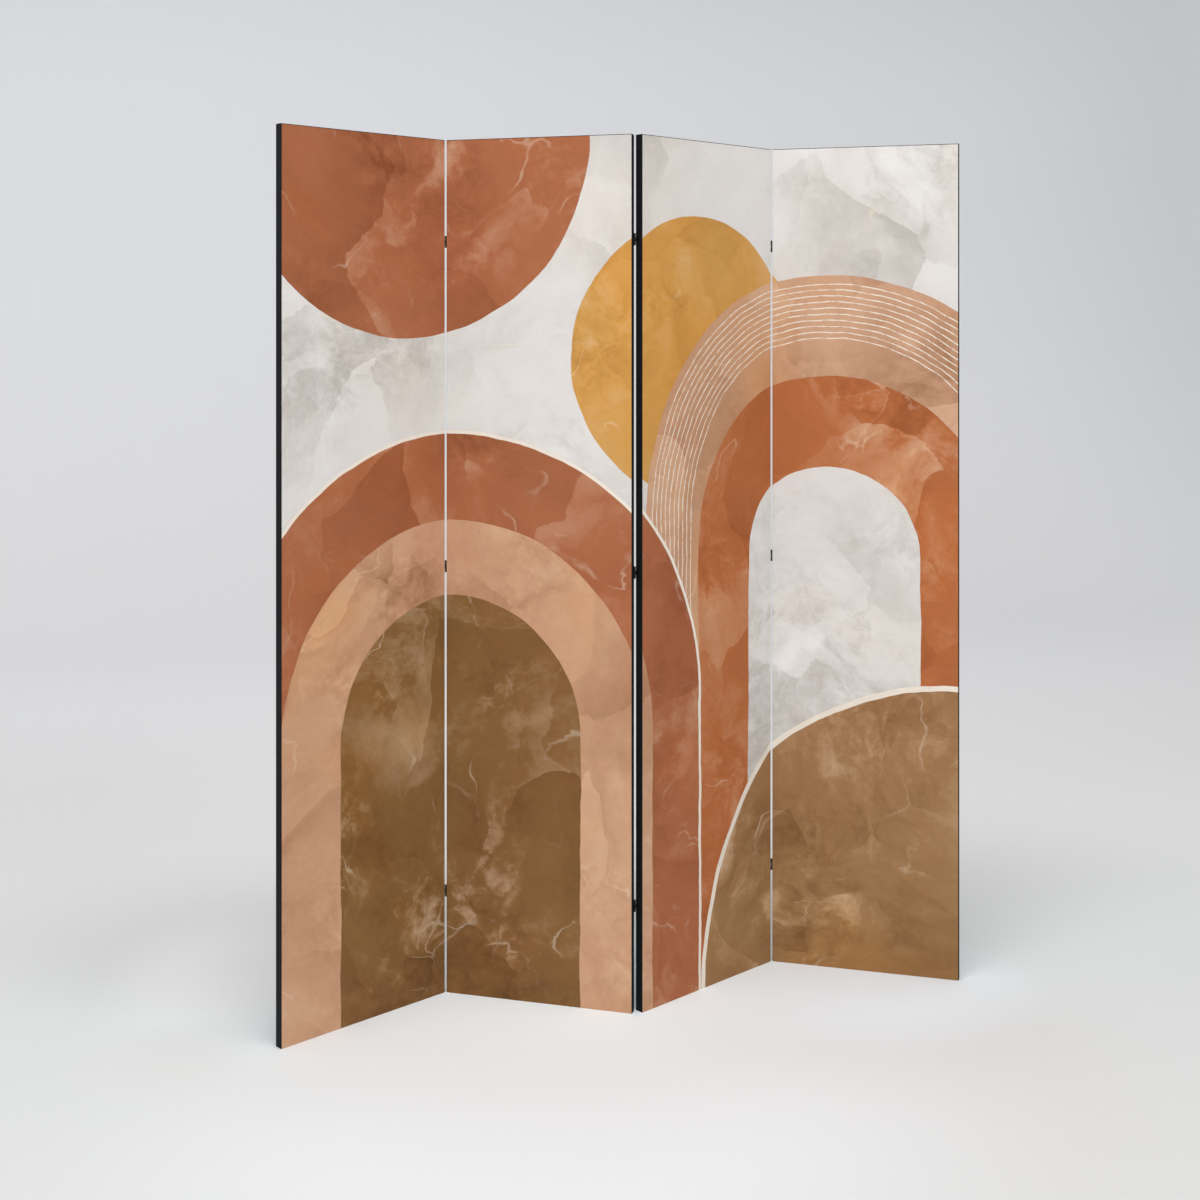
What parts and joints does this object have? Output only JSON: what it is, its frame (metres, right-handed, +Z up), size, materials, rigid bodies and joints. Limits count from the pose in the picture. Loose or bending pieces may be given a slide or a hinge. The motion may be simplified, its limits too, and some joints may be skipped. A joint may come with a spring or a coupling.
{
  "type": "folding screen",
  "caption": "Free-standing folding screen: tall printed canvas panels on wooden frames, hinged edge to edge to stand in a zigzag.",
  "frame": {"origin": "on the floor, in the middle of the standing zigzag's plan", "axes": "+Z up, +X along the row of panels to the viewer's right, +Y away from the viewer, so the printed faces look towards -Y"},
  "size_m": [1.4516, 0.2188, 1.8],
  "materials": {
    "printed_canvas": "matt printed canvas, black where it turns round the frame",
    "backing_cloth": "matt black woven cloth",
    "frame_wood": "planed bare pine",
    "dowel_wood": "bare beech",
    "hinge_steel": "satin black",
    "hinge_screw": "satin black",
    "staple_wire": "bright zinc-plated wire"
  },
  "bodies": {
    "panel_1": {"panel_1_left_stile": "frame_wood", "panel_1_right_stile": "frame_wood", "panel_1_top_rail": "frame_wood", "panel_1_bottom_rail": "frame_wood", "panel_1_cross_bars": "frame_wood", "panel_1_dowels": "dowel_wood", "panel_1_front_canvas": "printed_canvas", "panel_1_back_cloth": "backing_cloth", "panel_1_staples": "staple_wire", "panel_1_hinge_screws": "hinge_screw", "panel_1_right_low_leaf": "hinge_steel", "panel_1_right_mid_leaf": "hinge_steel", "panel_1_right_top_leaf": "hinge_steel"},
    "panel_2": {"panel_2_left_stile": "frame_wood", "panel_2_right_stile": "frame_wood", "panel_2_top_rail": "frame_wood", "panel_2_bottom_rail": "frame_wood", "panel_2_cross_bars": "frame_wood", "panel_2_dowels": "dowel_wood", "panel_2_front_canvas": "printed_canvas", "panel_2_back_cloth": "backing_cloth", "panel_2_staples": "staple_wire", "panel_2_hinge_screws": "hinge_screw", "panel_2_left_low_leaf": "hinge_steel", "panel_2_left_mid_leaf": "hinge_steel", "panel_2_left_top_leaf": "hinge_steel", "panel_2_right_low_leaf": "hinge_steel", "panel_2_right_mid_leaf": "hinge_steel", "panel_2_right_top_leaf": "hinge_steel", "panel_2_hinge_pins": "hinge_steel"},
    "panel_3": {"panel_3_left_stile": "frame_wood", "panel_3_right_stile": "frame_wood", "panel_3_top_rail": "frame_wood", "panel_3_bottom_rail": "frame_wood", "panel_3_cross_bars": "frame_wood", "panel_3_dowels": "dowel_wood", "panel_3_front_canvas": "printed_canvas", "panel_3_back_cloth": "backing_cloth", "panel_3_staples": "staple_wire", "panel_3_hinge_screws": "hinge_screw", "panel_3_left_low_leaf": "hinge_steel", "panel_3_left_mid_leaf": "hinge_steel", "panel_3_left_top_leaf": "hinge_steel", "panel_3_right_low_leaf": "hinge_steel", "panel_3_right_mid_leaf": "hinge_steel", "panel_3_right_top_leaf": "hinge_steel", "panel_3_hinge_pins": "hinge_steel"},
    "panel_4": {"panel_4_left_stile": "frame_wood", "panel_4_right_stile": "frame_wood", "panel_4_top_rail": "frame_wood", "panel_4_bottom_rail": "frame_wood", "panel_4_cross_bars": "frame_wood", "panel_4_dowels": "dowel_wood", "panel_4_front_canvas": "printed_canvas", "panel_4_back_cloth": "backing_cloth", "panel_4_staples": "staple_wire", "panel_4_hinge_screws": "hinge_screw", "panel_4_left_low_leaf": "hinge_steel", "panel_4_left_mid_leaf": "hinge_steel", "panel_4_left_top_leaf": "hinge_steel"}
  },
  "joints": [
    {"name": "left_fold", "type": "hinge", "parent": "panel_2", "child": "panel_1", "pos_m": [-0.3638, 0.09324, 0.9], "axis": [0, 0, 1], "range_deg": [-60, 120]},
    {"name": "middle_fold", "type": "hinge", "parent": "panel_2", "child": "panel_3", "pos_m": [0, -0.09324, 0.9], "axis": [0, 0, 1], "range_deg": [-60, 120]},
    {"name": "right_fold", "type": "hinge", "parent": "panel_3", "child": "panel_4", "pos_m": [0.3638, 0.09324, 0.9], "axis": [0, 0, -1], "range_deg": [-60, 120]}
  ]
}
